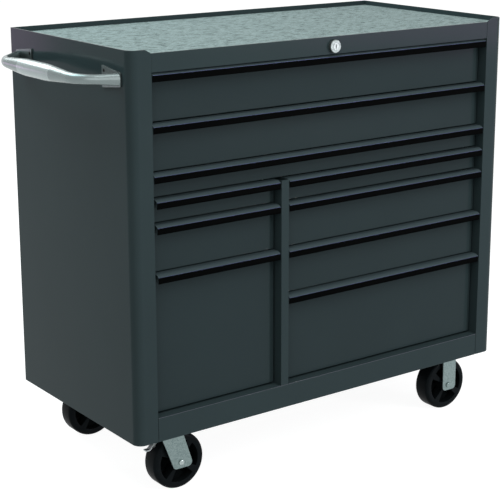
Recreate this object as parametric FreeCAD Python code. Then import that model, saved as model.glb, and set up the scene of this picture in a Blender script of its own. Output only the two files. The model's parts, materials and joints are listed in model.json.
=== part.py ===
"""Rolling tool cabinet: a folded-steel body with ten drawers on telescopic slides, a key lock that
moves one lock frame behind all the drawers, a push handle on the left side and four casters.

The model is built about the middle of the steel body, X to the right, Y to the back, Z up from the
floor, in millimetres. When it is saved it is moved so that the origin lies on the floor under the
middle of the whole object, handle and lock included."""
import FreeCAD, Part
import math
import os

V = FreeCAD.Vector

# Steel body
cabinet_width = 1024.0
cabinet_depth = 501.0
body_height = 825.5
body_sheet = 1.2
corner_radius = 20.0
post_width = 51.0
post_return = 40.0
seam_gap = 1.0
header_weld_gap = 0.2
rim_drop = 11.0
notch_run = 14.5
notch_drop = 8.0
header_height = 38.0
base_rail_height = 53.0
header_depth = 30.0
header_lip = 5.0
sill_depth = 45.0
sill_lip = 10.0
flange = 15.0
pan_sheet = 1.5
mat_thickness = 3.0
mat_gap = 0.5

# Centre divider and shelf
divider_width = 20.0
divider_offset = -129.25
shelf_sheet = 1.2
upright_width = 40.0
upright_sheet = 1.5
front_upright_gap = 0.5
rear_upright_inset = 40.0

# Drawer fronts and boxes
face_recess = 22.0
face_sheet = 1.0
face_return = 10.0
face_side_gap = 5.0
face_bottom_gap = 3.0
sill_gap = 5.0
drawer_rear_room = 24.0
box_sheet = 1.0
box_lift = 2.0
box_drop = 6.0
top_gap = 1.2
full_pitches = (104.0, 101.5, 53.5)
left_pitches = (53.0, 104.0)
right_pitches = (53.0, 104.0, 105.0)
pull_end_gap = 2.5
left_post_pull_gap = 7.5

# Pull extrusion and its trim strip
pull_sheet = 2.0
pull_flat = 10.0
pull_slope = 4.8
trim_height = 14.0
trim_thickness = 1.2
pull_wall = 1.8
pull_back_height = 17.0

# Telescopic slides
slide_space = 13.2
slide_height = 35.0
slide_rear_gap = 3.5
slide_sheet = 1.2
slide_clearance = 0.35
slide_rise = 21.0
slide_setback = 1.5
flange_reach = 8.3

# Lock
lock_drop = 29.0
lock_face_radius = 14.3
lock_face_proud = 8.0
lock_face_edge = 1.5
lock_body_radius = 11.0
lock_body_overhang = 1.0
lock_hole_clearance = 0.2
lock_nut_radius = 15.0
lock_nut_thickness = 4.0
plug_radius = 7.5
plug_clearance = 0.06
plug_proud = 0.6
key_slot_width = 2.0
key_slot_height = 9.0
key_slot_depth = 4.0
cam_thickness = 2.5
cam_gap = 0.3
cam_pin_radius = 3.0
cam_nose_radius = 3.6
cam_throw = 12.0
frame_bar = 12.0
frame_sheet = 1.5
frame_gap = 0.3
frame_rod_height = 3.0
window_clearance = 0.4
finger_sheet = 2.0
finger_width = 14.0
catch_width = 16.0
catch_reach = 10.0
catch_sheet = 1.5
catch_rise = 8.0
catch_height = 12.0
finger_lift = 14.0
right_strip_x = 60.0
left_strip_x = -230.0

# Side handle
handle_drop = 59.5
handle_standoff = 68.0
handle_half_span = 212.0
handle_arm_run = 48.0
handle_bend_radius = 76.0
grip_half_length = 44.0
grip_half_height = 18.0
grip_half_thickness = 15.0
arm_half_height = 10.2
arm_half_thickness = 9.0
end_half_height = 13.0
end_half_thickness = 8.0
taper_middle = 0.68
taper_end = 0.25
taper_bend = 0.06
arm_overrun = 16.0
bracket_thickness = 3.5
bracket_inner_half_height = 23.0
bracket_outer_half_height = 14.0
bracket_inward = 62.0
bracket_outward = 10.0
bracket_screw_inset = 8.5
bracket_screw_rise = 12.0
screw_head_radius = 3.6
screw_head_height = 2.6
screw_shank_radius = 2.4
screw_clearance = 0.3
screw_length = 12.0
screw_socket_radius = 1.7
screw_socket_depth = 1.4

# Casters
floor_recess = 23.5
wheel_radius = 63.5
wheel_width = 43.3
tread_shoulder = 7.5
rim_wall = 7.0
web_half = 8.0
spoke_half = 18.0
spoke_thickness = 8.0
spoke_count = 6
spoke_root = 1.9
hub_radius = 16.0
hub_gap = 0.4
fork_half_inner = 27.0
fork_sheet = 3.0
axle_radius = 6.0
axle_clearance = 0.06
axle_head_radius = 6.5
axle_head_height = 3.5
axle_head_round = 2.45
leg_end_drop = 13.3
leg_corner = 10.0
rigid_leg_width = 41.6
rigid_leg_offset = 3.9
swivel_leg_width = 50.2
swivel_leg_offset = 2.0
swivel_leg_spread = 2.1
swivel_trail = 30.0
crown_clearance = 13.0
crown_half_length = 27.0
raceway_height = 19.0
raceway_gap = 0.4
raceway_radius = 33.0
crown_disc_radius = 29.0
kingpin_radius = 6.0
kingpin_head_radius = 9.0
kingpin_head_height = 4.0
caster_plate_length = 101.6
caster_plate_width = 114.3
caster_plate_sheet = 3.0
caster_hole_x = 76.2
caster_hole_y = 92.0
bolt_radius = 4.0
bolt_clearance = 0.3
bolt_head_radius = 7.0
bolt_head_height = 5.0
rigid_inset = 106.6
swivel_inset = 99.6
caster_inset_y = 65.0

# Brake lever on each swivel caster
brake_pin_radius = 3.0
brake_pin_lead = 38.6
brake_pin_drop = 12.0
brake_hub_radius = 5.0
brake_hub_gap = 1.0
brake_sheet = 2.5
brake_half_width = 6.0
brake_length = 38.3
brake_gap = 3.1
brake_toe = 10.0
shoe_start = 12.0
shoe_end = 28.0
shoe_depth = 3.5

# Places worked out from the sizes above
half_width = cabinet_width / 2
front = -cabinet_depth / 2
back = cabinet_depth / 2
wheel_top = 2 * wheel_radius
crown_under = wheel_top + crown_clearance
plate_under = crown_under + fork_sheet + raceway_height
pan_under = plate_under + caster_plate_sheet
pan_top = pan_under + pan_sheet
body_bottom = pan_under - floor_recess
rim = body_bottom + body_height
mat_top = rim - rim_drop
tray_top = mat_top - mat_thickness
tray_under = tray_top - pan_sheet
header_top = rim - notch_drop
header_bottom = header_top - header_height
sill = body_bottom + base_rail_height
opening_half = half_width - post_width
wall_inner = half_width - body_sheet
divider_left = divider_offset - divider_width / 2
divider_right = divider_offset + divider_width / 2
upright_top = tray_under - flange - seam_gap
face_front = front + face_recess
box_back = back - drawer_rear_room
slide_front = face_front + face_return + slide_setback
slide_back = box_back - slide_rear_gap
top_pull = header_bottom - top_gap
column_top = top_pull - sum(full_pitches)
lock_z = rim - lock_drop
handle_z = rim - handle_drop
lock_front = front - lock_face_proud
lock_body_length = header_depth + lock_body_overhang
handle_corner = handle_half_span - handle_arm_run
bracket_inner = handle_half_span - bracket_inward
bracket_outer = handle_half_span + bracket_outward
rim_inner_radius = wheel_radius - tread_shoulder - rim_wall
hub_half = fork_half_inner - hub_gap
brake_hub_half = fork_half_inner - brake_hub_gap


def block(x0, x1, y0, y1, z0, z1):
    return Part.makeBox(x1 - x0, y1 - y0, z1 - z0, V(x0, y0, z0))


def bar(radius, start, end):
    """A round bar from one point to another."""
    way = end - start
    return Part.makeCylinder(radius, way.Length, start, way)


def joined(shapes):
    """Sheets and lumps welded or folded into one piece."""
    return shapes[0].fuse(shapes[1:]).removeSplitter()


def prism(corners, way):
    """A straight-sided outline pushed along a vector."""
    return Part.Face(Part.makePolygon(corners + corners[:1])).extrude(way)


def hexagon(place, radius, way):
    """A six-sided bar from a place along a vector that lies on Y or Z."""
    side = V(1, 0, 0)
    rise = side.cross(way)
    rise.normalize()
    angles = [math.pi * number / 3 for number in range(6)]
    corners = [place + side * (radius * math.cos(a)) + rise * (radius * math.sin(a)) for a in angles]
    return prism(corners, way)


def mirrored(shape):
    """The same piece for the other side of the body."""
    return shape.mirror(V(0, 0, 0), V(1, 0, 0))


def origin_shift():
    """From the middle of the body to the middle of the whole object, handle and lock included."""
    return V((handle_standoff + grip_half_thickness) / 2, (lock_face_proud + plug_proud) / 2, 0)


def save(name, pieces):
    """Write one sub-part, moved from the body's middle to the object's own origin."""
    group = Part.makeCompound(pieces) if len(pieces) > 1 else pieces[0].copy()
    group.translate(origin_shift())
    group.exportStep("parts/" + name + ".step")


# Steel body

def skin_face(outside, inside, rear):
    """The right side's wall, rounded corner and post front, between two depths below its outer face,
    from the post's edge to the wall's rear edge."""
    turn = math.sqrt(0.5)
    centre = V(half_width - corner_radius, front + corner_radius, 0)

    def corner(depth):
        return corner_radius - depth

    def arc(depth):
        r = corner(depth)
        return Part.Arc(centre + V(r, 0, 0), centre + V(r * turn, -r * turn, 0), centre + V(0, -r, 0))

    outer_side = V(half_width - outside, rear, 0)
    inner_side = V(half_width - inside, rear, 0)
    outer_post = V(opening_half, front + outside, 0)
    inner_post = V(opening_half, front + inside, 0)
    edges = [
        Part.LineSegment(outer_side, centre + V(corner(outside), 0, 0)).toShape(),
        arc(outside).toShape(),
        Part.LineSegment(centre + V(0, -corner(outside), 0), outer_post).toShape(),
        Part.LineSegment(outer_post, inner_post).toShape(),
        Part.LineSegment(inner_post, centre + V(0, -corner(inside), 0)).toShape(),
        arc(inside).toShape(),
        Part.LineSegment(centre + V(corner(inside), 0, 0), inner_side).toShape(),
        Part.LineSegment(inner_side, outer_side).toShape(),
    ]
    return Part.Face(Part.Wire(Part.__sortEdges__(edges)))


def side_panel():
    """Right side panel: wall, post, the post's return beside the drawers, and a hem round the rim."""
    skin = skin_face(0, body_sheet, back)
    skin.translate(V(0, 0, body_bottom))
    hem = skin_face(body_sheet, 2 * body_sheet, back - body_sheet)
    hem.translate(V(0, 0, tray_top))
    inner_return = block(opening_half, opening_half + body_sheet,
                         front + body_sheet, front + post_return, pan_top, tray_under)
    panel = joined([skin.extrude(V(0, 0, body_height)),
                    hem.extrude(V(0, 0, rim - tray_top)), inner_return])
    notch = [V(opening_half, front, header_top),
             V(opening_half + notch_run, front, rim),
             V(opening_half, front, rim)]
    cutter = prism(notch, V(0, 2 * body_sheet, 0))
    return panel.cut(cutter)


def tray_plate(inset, thickness, base):
    """A plate that fills the body from side to side, round at its front corners."""
    x = half_width - inset
    plate = block(-x, x, front + inset, back - inset, base, base + thickness)
    front_edges = [e for e in plate.Edges
                   if abs(e.Vertexes[0].Z - e.Vertexes[1].Z) > thickness / 2
                   and e.Vertexes[0].Y < 0]
    return plate.makeFillet(corner_radius - inset, front_edges)


def flanged_pan(under):
    """A pan with its side and back edges folded down against the walls."""
    low = under - flange
    side = block(wall_inner - pan_sheet, wall_inner, front + corner_radius, back - body_sheet, low, under)
    rear = block(-wall_inner, wall_inner, back - body_sheet - pan_sheet, back - body_sheet, low, under)
    return joined([tray_plate(body_sheet, pan_sheet, under), side, mirrored(side), rear])


def caster_centres():
    """Plate centres: two rigid casters on the right, two swivel casters on the left."""
    rigid_x = half_width - rigid_inset
    swivel_x = -(half_width - swivel_inset)
    y = cabinet_depth / 2 - caster_inset_y
    return [(rigid_x, -y), (rigid_x, y)], [(swivel_x, -y), (swivel_x, y)]


def plate_holes(centre, base, height):
    """Four bolt holes through a caster plate or the pan above it."""
    x, y = centre
    r = bolt_radius + bolt_clearance
    return [Part.makeCylinder(r, height, V(x + sx * caster_hole_x / 2, y + sy * caster_hole_y / 2, base))
            for sx in (-1, 1) for sy in (-1, 1)]


def floor_pan():
    rigid, swivel = caster_centres()
    pan = flanged_pan(pan_under)
    for centre in rigid + swivel:
        pan = pan.cut(plate_holes(centre, pan_under, pan_sheet))
    return pan


def back_panel():
    """Back sheet between the sides, with a hem at the rim and folded side edges."""
    inner = back - body_sheet
    sheet = block(-wall_inner, wall_inner, inner, back, body_bottom, rim)
    hem_half = wall_inner - body_sheet
    hem = block(-hem_half, hem_half, inner - body_sheet, inner, tray_top, rim)
    edge = block(hem_half, wall_inner, inner - flange, inner, pan_top, upright_top)
    return joined([sheet, hem, edge, mirrored(edge)])


def header_rail():
    """Rail above the drawers, with a hem behind its top edge and the hole for the lock."""
    left = header_weld_gap - opening_half
    right = opening_half - seam_gap
    inner = front + body_sheet
    plate = block(left, right, front, inner, header_bottom, header_top)
    hem = block(left, right, inner, inner + body_sheet, tray_top, header_top)
    under = block(-opening_half, opening_half, inner, front + header_depth,
                  header_bottom, header_bottom + body_sheet)
    lip = block(-opening_half, opening_half, front + header_depth - body_sheet, front + header_depth,
                header_bottom, header_bottom + header_lip)
    hole = bar(lock_body_radius + lock_hole_clearance, V(0, front, lock_z), V(0, inner, lock_z))
    return joined([plate, hem, under, lip]).cut(hole)


def base_rail():
    """Rail under the drawers: its folded top is the sill that shows below the lowest fronts."""
    plate_half = opening_half - seam_gap
    inner = front + body_sheet
    plate = block(-plate_half, plate_half, front, inner, body_bottom, sill)
    top = block(-opening_half, opening_half, inner, front + sill_depth, sill - body_sheet, sill)
    lip = block(-opening_half, opening_half, front + sill_depth - body_sheet, front + sill_depth,
                sill - sill_lip, sill)
    foot = block(-plate_half, plate_half, inner, front + flange, body_bottom, body_bottom + body_sheet)
    return joined([plate, top, lip, foot])


def centre_divider():
    """Hollow upright panel between the columns, with the shelf that its top is welded to."""
    inner = front + body_sheet
    clear = front + sill_depth
    skins = []
    for x in (divider_left, divider_right - body_sheet):
        skins.append(block(x, x + body_sheet, inner, back - body_sheet, sill, column_top))
        skins.append(block(x, x + body_sheet, clear, back - body_sheet, pan_top, sill))
    face = block(divider_left, divider_right, front, inner, sill, column_top)
    shelf = block(-opening_half, opening_half, face_front + face_return + slide_setback, box_back,
                  column_top, column_top + shelf_sheet)
    return [joined([face] + skins), shelf]


def slide_uprights():
    """Four channels that carry the outer slides, open towards the side walls."""
    fronts = (front + post_return + front_upright_gap, back - rear_upright_inset - upright_width)
    channels = []
    for y in fronts:
        web = block(opening_half, opening_half + upright_sheet, y, y + upright_width, pan_top, upright_top)
        legs = [block(opening_half, wall_inner, start, start + upright_sheet, pan_top, upright_top)
                for start in (y, y + upright_width - upright_sheet)]
        channel = joined([web] + legs)
        channels += [channel, mirrored(channel)]
    return channels


# Drawers

def drawer_list():
    """Each drawer's name, its opening's sides, the heights of its pull and of its front's lower edge,
    and the gaps at the ends of its pull."""
    drawers = []

    def column(name, pitches, left, right, left_gap, ends_at_sill):
        top = column_top if ends_at_sill else top_pull
        levels = [top]
        for pitch in pitches:
            levels.append(levels[-1] - pitch)
        lower = [level + face_bottom_gap for level in levels[1:]]
        if ends_at_sill:
            lower.append(sill + sill_gap)
        for number, low in enumerate(lower):
            drawers.append({"name": name + "_drawer_" + str(number + 1), "left": left, "right": right,
                            "top": levels[number], "bottom": low, "left_gap": left_gap})

    column("full", full_pitches, -opening_half, opening_half, pull_end_gap, False)
    column("left", left_pitches, -opening_half, divider_left, left_post_pull_gap, True)
    column("right", right_pitches, divider_right, opening_half, pull_end_gap, True)
    return drawers


def catch_place(drawer):
    """Middle of the drawer's catch along X, and the height of the catch's floor."""
    x = left_strip_x if drawer["right"] < right_strip_x else right_strip_x
    return x, drawer["bottom"] + box_lift + catch_height


def drawer_box(drawer):
    """Folded box with its front welded on and the lock's catch on its back."""
    left = drawer["left"] + slide_space
    right = drawer["right"] - slide_space
    low = drawer["bottom"] + box_lift
    high = drawer["top"] - box_drop
    inner = face_front + face_sheet
    outer_box = block(left, right, inner, box_back, low, high)
    hollow = block(left + box_sheet, right - box_sheet, inner, box_back - box_sheet, low + box_sheet, high)
    face_left = drawer["left"] + face_side_gap
    face_right = drawer["right"] - face_side_gap
    face_top = drawer["top"] - pull_sheet
    face = block(face_left, face_right, face_front, inner, drawer["bottom"], face_top)
    folded = face_front + face_return
    edges = [
        block(face_left, face_left + face_sheet, inner, folded, drawer["bottom"], face_top),
        block(face_right - face_sheet, face_right, inner, folded, drawer["bottom"], face_top),
        block(face_left, face_right, inner, folded, face_top - face_sheet, face_top),
        block(face_left, face_right, inner, folded, drawer["bottom"], drawer["bottom"] + face_sheet),
    ]
    x, floor = catch_place(drawer)
    hook_floor = block(x - catch_width / 2, x + catch_width / 2, box_back, box_back + catch_reach,
                       floor, floor + catch_sheet)
    hook_lip = block(x - catch_width / 2, x + catch_width / 2, box_back + catch_reach - catch_sheet,
                     box_back + catch_reach, floor, floor + catch_rise)
    box = joined([outer_box.cut(hollow), face] + edges + [hook_floor, hook_lip])
    centre = low + slide_rise
    return [box] + slide_pair(drawer, centre, inner_member)


def pull_outline():
    """Section of the pull in Y and Z, its corner of reference at the front's face and the pull's top."""
    run = face_recess - pull_flat
    turn = 2 * math.atan(pull_slope / run)
    radius = run / math.sin(turn)
    centre = V(0, -pull_flat, -radius)

    def on_arc(r, angle):
        return centre + V(0, -r * math.sin(angle), r * math.cos(angle))

    nose = V(0, -face_recess, -pull_slope)
    seat = -face_recess + trim_thickness
    foot = -pull_slope - trim_height
    inner_radius = radius - pull_sheet
    inner_reach = face_recess - trim_thickness - pull_wall
    inner_turn = math.asin((inner_reach - pull_flat) / inner_radius)
    inner_nose = on_arc(inner_radius, inner_turn)
    straight = [
        (V(0, face_return, 0), V(0, -pull_flat, 0)),
        (nose, V(0, seat, nose.z)),
        (V(0, seat, nose.z), V(0, seat, foot)),
        (V(0, seat, foot), V(0, -inner_reach, foot)),
        (V(0, -inner_reach, foot), inner_nose),
        (V(0, -pull_flat, -pull_sheet), V(0, -pull_wall, -pull_sheet)),
        (V(0, -pull_wall, -pull_sheet), V(0, -pull_wall, -pull_back_height)),
        (V(0, -pull_wall, -pull_back_height), V(0, 0, -pull_back_height)),
        (V(0, 0, -pull_back_height), V(0, 0, -pull_sheet)),
        (V(0, 0, -pull_sheet), V(0, face_return, -pull_sheet)),
        (V(0, face_return, -pull_sheet), V(0, face_return, 0)),
    ]
    edges = [Part.LineSegment(a, b).toShape() for a, b in straight]
    edges.append(Part.Arc(V(0, -pull_flat, 0), on_arc(radius, turn / 2), nose).toShape())
    edges.append(Part.Arc(V(0, -pull_flat, -pull_sheet), on_arc(inner_radius, inner_turn / 2),
                          inner_nose).toShape())
    return Part.Face(Part.Wire(Part.__sortEdges__(edges)))


def pull_span(drawer):
    return drawer["left"] + drawer["left_gap"], drawer["right"] - pull_end_gap


def drawer_pull(drawer):
    """Full-length pull hooked over the front's top edge, and the black strip in its face."""
    left, right = pull_span(drawer)
    outline = pull_outline()
    outline.translate(V(left, face_front, drawer["top"]))
    extrusion = outline.extrude(V(right - left, 0, 0))
    trim_top = drawer["top"] - pull_slope
    trim = block(left, right, front, front + trim_thickness, trim_top - trim_height, trim_top)
    return [extrusion, trim]


# Each slide member is a channel. Depths are measured from the wall that carries the slide.

def channel(depth_web, depth_tip, half_height, y0, y1):
    """A channel with its web at one depth and its flange tips at another."""
    step = slide_sheet if depth_tip > depth_web else -slide_sheet
    web = block(min(depth_web, depth_web + step), max(depth_web, depth_web + step), y0, y1,
                -half_height, half_height)
    low, high = sorted((depth_web, depth_tip))
    upper = block(low, high, y0, y1, half_height - slide_sheet, half_height)
    lower = block(low, high, y0, y1, -half_height, slide_sheet - half_height)
    return joined([web, upper, lower])


def outer_member():
    return channel(0, slide_sheet + flange_reach, slide_height / 2, slide_front, slide_back)


def middle_member():
    web = slide_sheet + 2 * slide_clearance
    half = slide_height / 2 - slide_sheet - slide_clearance
    return channel(web, slide_space - slide_sheet - 2 * slide_clearance, half, slide_front, slide_back)


def inner_member():
    half = slide_height / 2 - 2 * (slide_sheet + slide_clearance)
    tip = 2 * slide_sheet + 4 * slide_clearance
    return channel(slide_space, tip, half, slide_front, slide_back)


def slide_pair(drawer, centre, member):
    """The same member on both sides of a drawer."""
    left = member()
    right = mirrored(left)
    left.translate(V(drawer["left"], 0, centre))
    right.translate(V(drawer["right"], 0, centre))
    return [left, right]


def slide_centre(drawer):
    return drawer["bottom"] + box_lift + slide_rise


# Lock

def lock_housing():
    """Bezel in front of the header, the threaded body through it, bored for the plug, and the nut
    that clamps the body behind the header."""
    seat = V(0, front, lock_z)
    inner = front + body_sheet
    end = V(0, front + lock_body_length, lock_z)
    bezel = bar(lock_face_radius, V(0, lock_front, lock_z), seat)
    ring = [e for e in bezel.Edges if e.Closed and e.BoundBox.YMax < front - lock_face_proud / 2]
    bezel = bezel.makeFillet(lock_face_edge, ring)
    barrel = bar(lock_body_radius, seat, end)
    bore = bar(plug_radius, V(0, lock_front, lock_z), end)
    nut = hexagon(V(0, inner, lock_z), lock_nut_radius, V(0, lock_nut_thickness, 0))
    hole = bar(lock_body_radius, seat, end)
    return [joined([bezel, barrel]).cut(bore), nut.cut(hole)]


def cam_back():
    """Depth of the cam's rear face, behind the housing's end."""
    return front + lock_body_length + cam_gap + cam_thickness


def lock_plug():
    """Turning plug with a key slot in front, and the cam with its drive pin behind the housing."""
    radius = plug_radius - plug_clearance
    start = lock_front - plug_proud
    cam_front = cam_back() - cam_thickness
    plug = bar(radius, V(0, start, lock_z), V(0, cam_back(), lock_z))
    slot = block(-key_slot_width / 2, key_slot_width / 2, start, start + key_slot_depth,
                 lock_z - key_slot_height / 2, lock_z + key_slot_height / 2)
    arm = block(0, cam_throw, cam_front, cam_back(), lock_z - cam_nose_radius, lock_z + cam_nose_radius)
    nose = bar(cam_nose_radius, V(cam_throw, cam_front, lock_z), V(cam_throw, cam_back(), lock_z))
    pin_end = cam_back() + frame_gap + finger_sheet
    pin = bar(cam_pin_radius, V(cam_throw, cam_back(), lock_z), V(cam_throw, pin_end, lock_z))
    return joined([plug.cut(slot), arm, nose, pin])


def lock_frame():
    """Rod from the cam to the back, and two strips down the back with a finger for each drawer.
    The cam's pin moves the whole frame down to lock."""
    plate_front = cam_back() + frame_gap
    plate_back = plate_front + finger_sheet
    window_half = cam_pin_radius + window_clearance
    rod_low = lock_z + window_half + frame_sheet
    rod_high = rod_low + frame_rod_height
    lead_angle = math.acos(2 / math.pi)
    pin_lead = cam_throw * (math.sin(lead_angle) - 2 * lead_angle / math.pi)
    window_low = lock_z - window_half - pin_lead
    plate = block(-frame_bar / 2, cam_throw + frame_bar / 2, plate_front, plate_back,
                  window_low - frame_sheet, rod_high)
    window = block(-window_half, cam_throw + window_half, plate_front, plate_back,
                   window_low, lock_z + window_half)
    strip_back = back - body_sheet - frame_gap
    strip_front = strip_back - frame_sheet
    rod_end = strip_front - pan_sheet
    rod = block(-frame_bar / 2, frame_bar / 2, plate_back, rod_end, rod_low, rod_high)
    bridge_top = tray_under - flange - 2 * seam_gap
    bridge_low = bridge_top - frame_bar
    drop = block(-frame_bar / 2, frame_bar / 2, rod_end - frame_sheet, rod_end, bridge_low, rod_high)
    foot = block(-frame_bar / 2, frame_bar / 2, rod_end, strip_front, bridge_low, bridge_top)
    bridge = block(left_strip_x, right_strip_x, strip_front, strip_back, bridge_low, bridge_top)
    parts = [plate.cut(window), rod, drop, foot, bridge]
    lowest = {}
    for drawer in drawer_list():
        x, floor = catch_place(drawer)
        tip = floor + finger_lift
        arm = tip + catch_rise
        near = box_back + (catch_reach - catch_sheet) / 2 - finger_sheet / 2
        parts.append(block(x - finger_width / 2, x + finger_width / 2, near, strip_front,
                           arm, arm + finger_sheet))
        parts.append(block(x - finger_width / 2, x + finger_width / 2, near, near + finger_sheet,
                           tip, arm + finger_sheet))
        lowest[x] = min(lowest.get(x, arm), arm)
    for x, level in lowest.items():
        parts.append(block(x - finger_width / 2, x + finger_width / 2, strip_front, strip_back,
                           level, bridge_top))
    return joined(parts)


# Side handle

def handle_path():
    """Middle line of the handle's front half from the grip to the bracket: a straight grip, a bend
    and a straight arm. Returns the grip's line, the bend and the arm's end."""
    start = V(-half_width - handle_standoff, 0, handle_z)
    corner = V(start.x, -handle_corner, handle_z)
    end = V(-half_width - bracket_thickness, -handle_half_span, handle_z)
    arm = end - corner
    arm.normalize()
    turn = V(0, -1, 0).getAngle(arm)
    reach = handle_bend_radius * math.tan(turn / 2)
    bend_start = corner - V(0, -reach, 0)
    centre = bend_start + V(handle_bend_radius, 0, 0)
    return start, bend_start, centre, turn, end


def handle_section(place, heading, half_height, half_thickness):
    """An oval square to the handle's middle line."""
    across = V(-heading.y, heading.x, 0)
    ellipse = Part.Ellipse(place + V(0, 0, half_height), place + across * half_thickness, place)
    return Part.Wire([ellipse.toShape()])


def side_handle():
    """Polished bow: an oval grip, thinner bent arms, and ends that widen where they meet the brackets."""
    start, bend_start, centre, turn, end = handle_path()
    forward = V(0, -1, 0)

    def section(place, heading, weight):
        """The oval between the arm's size, at weight 0, and the grip's, at weight 1."""
        height = arm_half_height + (grip_half_height - arm_half_height) * weight
        thickness = arm_half_thickness + (grip_half_thickness - arm_half_thickness) * weight
        return handle_section(place, heading, height, thickness)

    def round_bend(share, weight):
        angle = turn * share
        heading = V(math.sin(angle), -math.cos(angle), 0)
        place = centre + V(-math.cos(angle), -math.sin(angle), 0) * handle_bend_radius
        return section(place, heading, weight)

    grip_end = start + forward * grip_half_length
    half_way = (grip_end + bend_start) * 0.5
    taper = [section(grip_end, forward, 1), section(half_way, forward, taper_middle),
             section(bend_start, forward, taper_end)]
    bend = [round_bend(0, taper_end), round_bend(0.5, taper_bend), round_bend(1, 0)]
    way = V(math.sin(turn), -math.cos(turn), 0)
    past_end = end + way * arm_overrun
    arm = [bend[-1], handle_section(past_end, way, end_half_height, end_half_thickness)]
    beyond = block(-half_width - bracket_thickness, 0, -cabinet_depth, cabinet_depth, 0, rim)
    half = joined([Part.Face(taper[0]).extrude(start - grip_end), Part.makeLoft(taper, True),
                   Part.makeLoft(bend, True), Part.makeLoft(arm, True).cut(beyond)])
    return joined([half, half.mirror(V(0, 0, 0), V(0, 1, 0))])


def bracket_screw_places():
    """Screw centres on the side wall, in Y and Z."""
    y = bracket_inner + bracket_screw_inset
    return [(sy * y, handle_z + sz * bracket_screw_rise) for sy in (-1, 1) for sz in (-1, 1)]


def handle_brackets():
    """Flat end plates that taper towards the handle's ends, with counterbored screw holes."""
    face = -half_width - bracket_thickness
    outline = [V(face, -bracket_inner, handle_z + bracket_inner_half_height),
               V(face, -bracket_inner, handle_z - bracket_inner_half_height),
               V(face, -bracket_outer, handle_z - bracket_outer_half_height),
               V(face, -bracket_outer, handle_z + bracket_outer_half_height)]
    plate = prism(outline, V(bracket_thickness, 0, 0))
    edges = [e for e in plate.Edges if abs(e.Vertexes[0].X - e.Vertexes[1].X) > bracket_thickness / 2]
    plate = plate.makeFillet(bracket_thickness, edges)
    plates = [plate, plate.mirror(V(0, 0, 0), V(0, 1, 0))]
    for y, z in bracket_screw_places():
        hole = bar(screw_shank_radius + screw_clearance, V(face, y, z), V(-half_width, y, z))
        sink = bar(screw_head_radius + screw_clearance, V(face, y, z), V(face + screw_head_height, y, z))
        plates = [p.cut([hole, sink]) for p in plates]
    return plates


def handle_screws():
    """Black socket screws sunk in the brackets, their shanks through the side wall."""
    face = -half_width - bracket_thickness
    screws = []
    for y, z in bracket_screw_places():
        seat = face + screw_head_height
        head = bar(screw_head_radius, V(face, y, z), V(seat, y, z))
        shank = bar(screw_shank_radius, V(seat, y, z), V(seat + screw_length, y, z))
        socket = bar(screw_socket_radius, V(face, y, z), V(face + screw_socket_depth, y, z))
        screws.append(joined([head, shank]).cut(socket))
    return screws


def left_side_panel():
    """The mirrored side, drilled for the handle's screws."""
    panel = mirrored(side_panel())
    for y, z in bracket_screw_places():
        panel = panel.cut(bar(screw_shank_radius + screw_clearance,
                              V(-half_width, y, z), V(-wall_inner, y, z)))
    return panel


# Casters

def caster_plate(centre):
    x, y = centre
    plate = block(x - caster_plate_length / 2, x + caster_plate_length / 2,
                  y - caster_plate_width / 2, y + caster_plate_width / 2,
                  plate_under, plate_under + caster_plate_sheet)
    return plate.cut(plate_holes(centre, plate_under, caster_plate_sheet))


def axle_bore(x, y):
    """The hole through both legs for the axle."""
    half = fork_half_inner + fork_sheet
    return bar(axle_radius, V(x, y - half, wheel_radius), V(x, y + half, wheel_radius))


def leg_pair(corners, y):
    """Two flat legs from one outline in X and Z, round at their lower corners."""
    legs = []
    for inner in (y - fork_half_inner - fork_sheet, y + fork_half_inner):
        leg = prism([V(px, inner, pz) for px, pz in corners], V(0, fork_sheet, 0))
        low = min(pz for px, pz in corners)
        edges = [e for e in leg.Edges
                 if abs(e.Vertexes[0].Y - e.Vertexes[1].Y) > fork_sheet / 2
                 and e.Vertexes[0].Z < low + leg_corner / 2]
        legs.append(leg.makeFillet(leg_corner, edges))
    return legs


def axle(x, y):
    """Axle with a domed head pressed up outside each leg."""
    reach = fork_half_inner + fork_sheet
    shaft = bar(axle_radius, V(x, y - reach, wheel_radius), V(x, y + reach, wheel_radius))
    heads = []
    for side in (-1, 1):
        seat = V(x, y + side * reach, wheel_radius)
        head = bar(axle_head_radius, seat, seat + V(0, side * axle_head_height, 0))
        outer = [e for e in head.Edges if e.Closed and abs(e.BoundBox.YMax - seat.y) > axle_head_height / 2]
        heads.append(head.makeFillet(axle_head_round, outer))
    return joined([shaft] + heads)


def rigid_casters():
    """Fixed forks with their legs straight down, and their axles."""
    pieces = []
    for x, y in caster_centres()[0]:
        middle = x + rigid_leg_offset
        left = middle - rigid_leg_width / 2
        right = middle + rigid_leg_width / 2
        low = wheel_radius - leg_end_drop
        corners = [(left, plate_under), (left, low), (right, low), (right, plate_under)]
        fork = joined([caster_plate((x, y))] + leg_pair(corners, y))
        pieces.append(fork.cut(axle_bore(x, y)))
        pieces.append(axle(x, y))
    return pieces


def swivel_plates():
    """Bolted plates with the fixed half of the raceway and the kingpin."""
    pieces = []
    crown_top = crown_under + fork_sheet
    for x, y in caster_centres()[1]:
        cup_low = crown_top + raceway_height / 2 + raceway_gap / 2
        cup = Part.makeCylinder(raceway_radius, plate_under - cup_low, V(x, y, cup_low))
        pin = Part.makeCylinder(kingpin_radius, plate_under - crown_under, V(x, y, crown_under))
        head_top = crown_under - raceway_gap
        head_low = V(x, y, head_top - kingpin_head_height)
        head = Part.makeCylinder(kingpin_head_radius, kingpin_head_height, head_low)
        neck = Part.makeCylinder(kingpin_radius, raceway_gap, V(x, y, head_top))
        pieces.append(joined([caster_plate((x, y)), cup, pin, neck, head]))
    return pieces


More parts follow.
